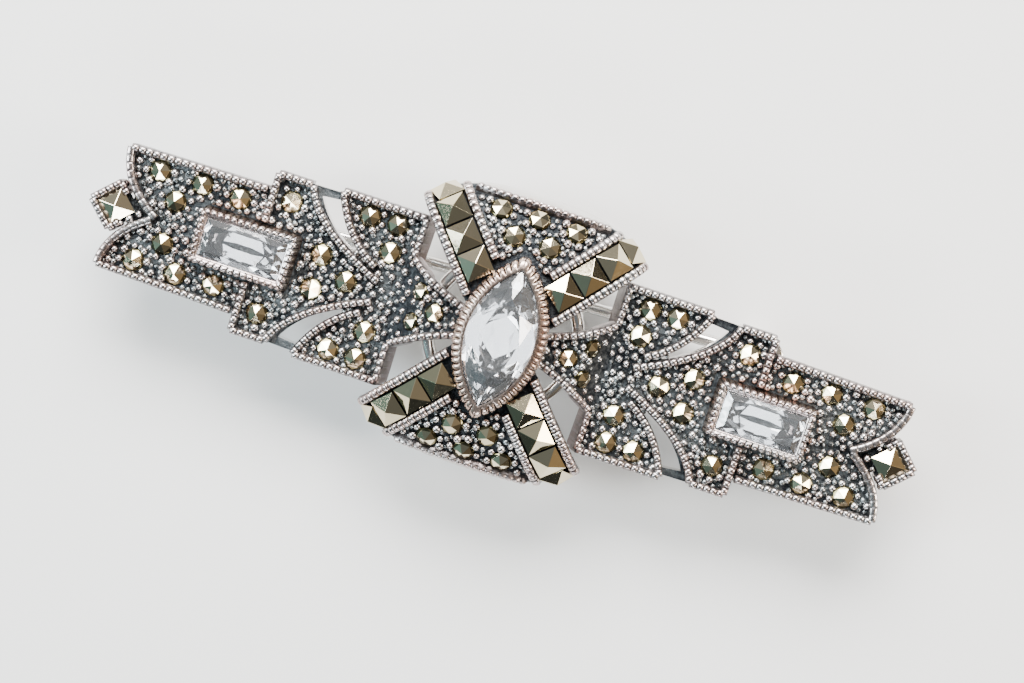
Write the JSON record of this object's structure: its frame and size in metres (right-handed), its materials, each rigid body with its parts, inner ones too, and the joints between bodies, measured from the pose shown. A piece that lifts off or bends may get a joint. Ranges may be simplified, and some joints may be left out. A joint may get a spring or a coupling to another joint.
{
  "type": "brooch",
  "caption": "Openwork bar brooch in oxidised silver with a marquise stone on a cushion-shaped bow, baguette stones and marcasites, a hinged pin and a rolling safety catch.",
  "frame": {"origin": "middle of the bounding box's base: under the centre of the bow, at the height of the catch's open mouth", "axes": "+X along the bar towards the catch end, +Y across the bar towards the side that the pin leans to, +Z out of the front, away from the cloth"},
  "size_m": [0.06, 0.0196, 0.0098],
  "materials": {
    "oxidised_silver": "silver with bright milled bead borders and grains over a blue-grey oxidised ground",
    "rose_silver": "ribbed bezel silver with a warm rose-copper tarnish, dark in its grooves",
    "polished_silver": "polished silver with fine handling scratches",
    "marcasite": "cut and polished pyrite, pale brassy gold with dark green-brown reflections",
    "clear_stone": "polished faceted cubic zirconia, colourless"
  },
  "bodies": {
    "root": {"bottom_bow_marcasite_1": "marcasite", "bottom_bow_marcasite_2": "marcasite", "bottom_bow_marcasite_3": "marcasite", "bottom_bow_marcasite_4": "marcasite", "bottom_bow_marcasite_5": "marcasite", "bottom_left_arm_marcasite_1": "marcasite", "bottom_left_arm_marcasite_2": "marcasite", "bottom_left_arm_marcasite_3": "marcasite", "bottom_left_arm_marcasite_4": "marcasite", "bottom_right_arm_marcasite_1": "marcasite", "bottom_right_arm_marcasite_2": "marcasite", "bottom_right_arm_marcasite_3": "marcasite", "bottom_right_arm_marcasite_4": "marcasite", "bow_bottom": "oxidised_silver", "bow_top": "oxidised_silver", "catch_housing": "polished_silver", "catch_patch": "polished_silver", "gallery_ring": "polished_silver", "joint_bracket": "polished_silver", "joint_patch": "polished_silver", "joint_rivet": "polished_silver", "left_baguette_bezel": "rose_silver", "left_baguette_stone": "clear_stone", "left_bottom_fan_marcasite_1": "marcasite", "left_bottom_fan_marcasite_2": "marcasite", "left_bottom_fan_marcasite_3": "marcasite", "left_end_marcasite": "marcasite", "left_end_setting": "oxidised_silver", "left_top_fan_marcasite_1": "marcasite", "left_top_fan_marcasite_2": "marcasite", "left_top_fan_marcasite_3": "marcasite", "left_wing": "oxidised_silver", "marquise_bezel": "rose_silver", "marquise_stone": "clear_stone", "right_baguette_bezel": "rose_silver", "right_baguette_stone": "clear_stone", "right_bottom_fan_marcasite_1": "marcasite", "right_bottom_fan_marcasite_2": "marcasite", "right_bottom_fan_marcasite_3": "marcasite", "right_end_marcasite": "marcasite", "right_end_setting": "oxidised_silver", "right_top_fan_marcasite_1": "marcasite", "right_top_fan_marcasite_2": "marcasite", "right_top_fan_marcasite_3": "marcasite", "right_wing": "oxidised_silver", "top_bow_marcasite_1": "marcasite", "top_bow_marcasite_2": "marcasite", "top_bow_marcasite_3": "marcasite", "top_bow_marcasite_4": "marcasite", "top_bow_marcasite_5": "marcasite", "top_left_arm_marcasite_1": "marcasite", "top_left_arm_marcasite_2": "marcasite", "top_left_arm_marcasite_3": "marcasite", "top_left_arm_marcasite_4": "marcasite", "top_right_arm_marcasite_1": "marcasite", "top_right_arm_marcasite_2": "marcasite", "top_right_arm_marcasite_3": "marcasite", "top_right_arm_marcasite_4": "marcasite"},
    "pin": {"pin_stem": "polished_silver"},
    "catch": {"catch_sleeve": "polished_silver"}
  },
  "joints": [
    {"name": "pin_hinge", "type": "hinge", "parent": "root", "child": "pin", "pos_m": [-0.01898, 0.00225, 0.00163], "axis": [-0.0471, 0.9989, 0], "range_deg": [0, 70]},
    {"name": "catch_turn", "type": "hinge", "parent": "root", "child": "catch", "pos_m": [0.01678, 0.00393, 0.00163], "axis": [-0.9989, -0.0471, 0], "range_deg": [0, 90]}
  ]
}
